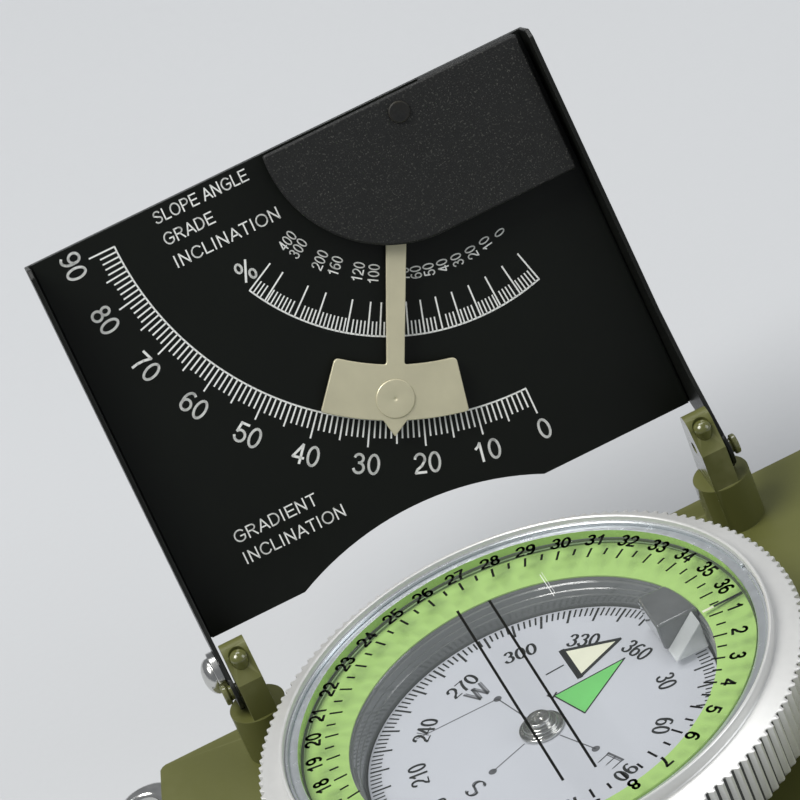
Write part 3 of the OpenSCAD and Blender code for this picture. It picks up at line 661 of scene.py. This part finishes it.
# Double-stroked letters and the dots with their fine lines
LETTER_H = 2.2
WEST_DOT = (-2.15, 7.39)
thin = Print(CARD_Z + 0.012)
for word, radius, az in (("W", 10.3, 109.7), ("S", 9.2, -155.4), ("E", 10.0, -66.8)):
    d = Vector(polar(math.radians(az), 1))
    thin.text(word, d * radius, LETTER_H, d, pen=0.12, thin=0.06)
    thin.text(word, d * radius + Vector((d.y, -d.x)) * 0.24, LETTER_H, d, pen=0.05, thin=0.04)
for dot in (WEST_DOT, (-6.18, -2.62), (3.25, -6.58)):
    thin.dot(dot, 0.42)
    thin.stroke(Vector(dot).normalized() * 2.4, dot, 0.13)
thin.stroke(WEST_DOT, (-10.89, 7.43), 0.13)
thin.stroke((-10.55, 8.3), (-9.65, 7.1), 0.12)
thin.make("card_letters", INK_GREY, "card")
for name, arrow, mat, slot in (("card_arrow_cream", CREAM_ARROW, INK_CREAM, "card_white"),
                               ("card_arrow_green", GREEN_ARROW, INK_GREEN, "luminous_green")):
    fill = Print(CARD_Z + 0.01)
    fill.shape(arrow[::-1])
    fill.make(name, mat, "card")

# ---------- lid ----------

softened("lid_shell", LID_BLACK, 0.16, "lid_tray")
softened("clinometer_plate", PLATE_BLACK, 0.1, "lid_scale_plate")
softened("hub_cover", COVER_GREY, 0.22, "pivot_cover")
softened("pendulum_rivet", RIVET, 0.12, "pivot_rivet")
softened("tab_washer", STEEL, 0.08, "hinge_washer")

# Domed clamp screw of the left hinge tab, with its driver slot
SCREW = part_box("tab_screw")
sc = Vector((SCREW[0].x / MM, (SCREW[0].y + SCREW[1].y) / 2 / MM, (SCREW[0].z + SCREW[1].z) / 2 / MM))
DOME_R = 1.93
dome = [(0, 2.6), (0.9, 2.6), (0.9, 1.45), (1.88, 1.4), (DOME_R, 1.28)]
dome += [(DOME_R * math.cos(math.pi / 20 * k), 1.2 - 1.16 * math.sin(math.pi / 20 * k)) for k in range(1, 8)]
dome += [(0.5, 0.09), (0.42, 0.16), (0.38, 0.5), (0, 0.5)]
v, f = solid_of_revolution(dome, 48)
new_piece("clamp_screw", v, f, STEEL, "lid",
          Matrix.Translation(sc) @ Matrix.Rotation(math.pi / 2, 4, "Y"), replaces=("tab_screw",), sharp=35)

PIVOT_XY = Vector((LID_PIVOT.x, LID_PIVOT.y))


def down(deg):
    """Unit vector in the lid's plane, deg from straight down towards the lid's left edge."""
    a = math.radians(deg)
    return Vector((-math.sin(a), -math.cos(a)))


# Degree scale, about the pendulum's pivot
DEGREE_R = 31.0
TEN_R, FIVE_R, ONE_R = 33.8, 33.4, 32.85
DEGREE_NUMBER_R = 35.5
scale = Print(PLATE_Z + 0.02)
for k in range(91):
    d = down(k)
    end = TEN_R if k % 10 == 0 else (FIVE_R if k % 5 == 0 else ONE_R)
    scale.stroke(PIVOT_XY + d * DEGREE_R, PIVOT_XY + d * end, 0.17)
scale.path([PIVOT_XY + down(k) * DEGREE_R for k in range(91)], 0.17)
for k in range(0, 91, 10):
    d = down(k)
    scale.text(str(k), PIVOT_XY + d * DEGREE_NUMBER_R, 2.05, -d, pen=0.125)

# Percent scale, about a centre of its own as printed
GRADE_XY = Vector((15.22, 44.79))
GRADE_R, GRADE_SHORT_R, GRADE_LONG_R, GRADE_NUMBER_R = 23.2, 21.75, 19.8, 17.0
GRADE_ZERO, GRADE_SPREAD, GRADE_STEPS = -15.2, 1.026, 76
GRADE_CLEAR = 0.6         # degrees kept free of short marks beside a long one
HIDDEN_GRADES = (80, 90)  # their numbers would lie under the pendulum
GRADES = (0, 10, 20, 30, 40, 50, 60, 70, 80, 90, 100, 120, 160, 200, 300, 400)


def slope(p):
    """Angle on the scale of a grade in percent."""
    return GRADE_ZERO + GRADE_SPREAD * math.degrees(math.atan(p / 100))


GRADE_SPAN = slope(GRADES[-1]) - GRADE_ZERO
for k in range(GRADE_STEPS + 1):
    a = GRADE_ZERO + GRADE_SPAN * k / GRADE_STEPS
    if min(abs(a - slope(p)) for p in GRADES) > GRADE_CLEAR:
        scale.stroke(GRADE_XY + down(a) * GRADE_R, GRADE_XY + down(a) * GRADE_SHORT_R, 0.14)
scale.path([GRADE_XY + down(GRADE_ZERO + GRADE_SPAN * k / 60) * GRADE_R for k in range(61)], 0.17)
for p in GRADES:
    d = down(slope(p))
    scale.stroke(GRADE_XY + d * GRADE_R, GRADE_XY + d * GRADE_LONG_R, 0.16)
    if p not in HIDDEN_GRADES:
        scale.text(str(p), GRADE_XY + d * GRADE_NUMBER_R, 1.12, (d.y, -d.x), stretch=0.84, pen=0.12)
scale.text("%", (-4.97, 36.1), 2.1, (0, 1), pen=0.11)
for words, x, y, wide in (("SLOPE ANGLE", -10.9, 44.75, 10.2), ("GRADE", -10.9, 42.4, 5.4),
                          ("INCLINATION", -10.9, 39.95, 11.5), ("GRADIENT", -17.5, 12.4, 9.1),
                          ("INCLINATION", -17.5, 10.1, 11.2)):
    scale.text(words, (x, y), 1.25, (0, 1), width=wide, pen=0.12, align="left")
scale.make("clinometer_print", INK_WHITE, "lid", ON_LID)

# ---------- pendulum ----------

PEND = ON_LID @ Matrix.Translation(Vector((PIVOT_XY.x, PIVOT_XY.y, PLATE_Z)))
PEND = PEND @ Matrix.Rotation(-READING, 4, "Z")
R_IN, R_OUT, HALF = 25.3, 30.9, math.radians(14)             # the sector's radii and half angle
STEM_HALF, HUB_R, POINTER_R = 0.9, 1.75, 32.5
SHEET_Z = (0.8, 1.3)      # above the scale plate
DISC_R = 28.7             # centre of the pressed disc


def at(r, a):
    """Point at radius r, angle a from the pendulum's own centre line."""
    return (r * math.sin(a), -r * math.cos(a))


def rounded(a, b, c, r, n=5):
    """Points of a rounded corner at b."""
    a, b, c = Vector(a), Vector(b), Vector(c)
    p = b + (a - b).normalized() * r
    q = b + (c - b).normalized() * r
    return [tuple((1 - t) ** 2 * p + 2 * t * (1 - t) * b + t * t * q) for t in [k / n for k in range(n + 1)]]


stem_foot = rounded((STEM_HALF, -R_IN + 0.4), (STEM_HALF, -R_IN), at(R_IN, 0.08), 0.3, 3)
right_side = [(STEM_HALF, -R_IN + 0.35)] + stem_foot
right_side += [at(R_IN, 0.08 + (HALF - 0.1) * k / 8) for k in range(7)]
right_side += rounded(at(R_IN, HALF - 0.04), at(R_IN, HALF), at(R_IN + 1, HALF), 0.55)
right_side += rounded(at(R_OUT - 1, HALF), at(R_OUT, HALF), at(R_OUT, HALF - 0.05), 0.3)
right_side += [at(R_OUT, HALF - (HALF - 0.045) * k / 10) for k in range(1, 10)]
right_side += [(1.22, -R_OUT + 0.03)]
left_side = [(-x, y) for x, y in reversed(right_side)]
hub = [polar(math.radians(230 - 280 * k / 30), HUB_R) for k in range(31)]
v, f = plate(right_side + [(0, -POINTER_R)] + left_side + hub, *SHEET_Z)
new_piece("pendulum_sheet", v, f, NICKEL, "pendulum", PEND, replaces=("clinometer_pendulum",),
          bevel=0.07)
disc = [(0, 1.305), (1.97, 1.305), (1.97, 1.36), (1.9, 1.42), (1.78, 1.43), (0.3, 1.42), (0.18, 1.39),
        (0.1, 1.33), (0, 1.32)]
v, f = solid_of_revolution(disc, 56)
new_piece("pendulum_disc", v, f, NICKEL, "pendulum",
          PEND @ Matrix.Translation(Vector((0, -DISC_R, 0))))

# ---------- studio ----------

FLOOR = material("studio_floor", srgb("BFC1C3"), rough=0.7, vary=0.01, vary_scale=8, bump=0.0)
FLOOR_HALF, FLOOR_Z = 3, -0.0002
corners = [(x * FLOOR_HALF, y * FLOOR_HALF, FLOOR_Z) for x, y in ((-1, -1), (1, -1), (1, 1), (-1, 1))]
me = bpy.data.meshes.new("floor")
me.from_pydata(corners, [], [(0, 1, 2, 3)])
me.materials.append(FLOOR)
floor = bpy.data.objects.new("floor", me)
bpy.context.scene.collection.objects.link(floor)

world = bpy.data.worlds.new("studio")
bpy.context.scene.world = world
world.use_nodes = True
world.node_tree.nodes["Background"].inputs["Color"].default_value = (0.82, 0.85, 0.9, 1)
world.node_tree.nodes["Background"].inputs["Strength"].default_value = 0.3


SUBJECT = Vector((0, 0, 0.02))


def area(name, place, size, power, colour=(1, 1, 1)):
    """A rectangular lamp aimed at the subject."""
    d = bpy.data.lights.new(name, "AREA")
    d.shape = "RECTANGLE"
    d.size, d.size_y = size
    d.energy = power
    d.color = colour
    o = bpy.data.objects.new(name, d)
    bpy.context.scene.collection.objects.link(o)
    o.location = place
    o.rotation_euler = (SUBJECT - Vector(place)).to_track_quat("-Z", "Y").to_euler()


area("key", (-0.4, -0.05, 0.85), (0.45, 0.45), 7.5, (1.0, 0.99, 0.97))
area("fill", (0.75, -0.35, 0.5), (0.5, 0.5), 2.2, (0.95, 0.97, 1.0))
area("back", (0.1, 0.4, 0.95), (0.6, 0.3), 3.0)
bpy.context.scene.view_settings.view_transform = "Standard"

# Camera solved from the photo
FOCAL_PX, PHOTO_PX, SENSOR_MM = 4449.96, 800, 36
cam = bpy.data.cameras.new("camera")
cam.sensor_width = SENSOR_MM
cam.lens = FOCAL_PX / PHOTO_PX * SENSOR_MM
cam.shift_x = 0.00315
cam.shift_y = 0.00865
cam.clip_start = 0.01
camera = bpy.data.objects.new("camera", cam)
bpy.context.scene.collection.objects.link(camera)
right = Vector((0.894742, -0.294963, -0.335311))
below = Vector((-0.439738, -0.450948, -0.776709))
ahead = Vector((0.077893, 0.842403, -0.533188))
turn = Matrix((right, -below, -ahead)).transposed().to_4x4()
camera.matrix_world = Matrix.Translation(Vector((-0.03178, -0.33796, 0.27108))) @ turn
bpy.context.scene.camera = camera
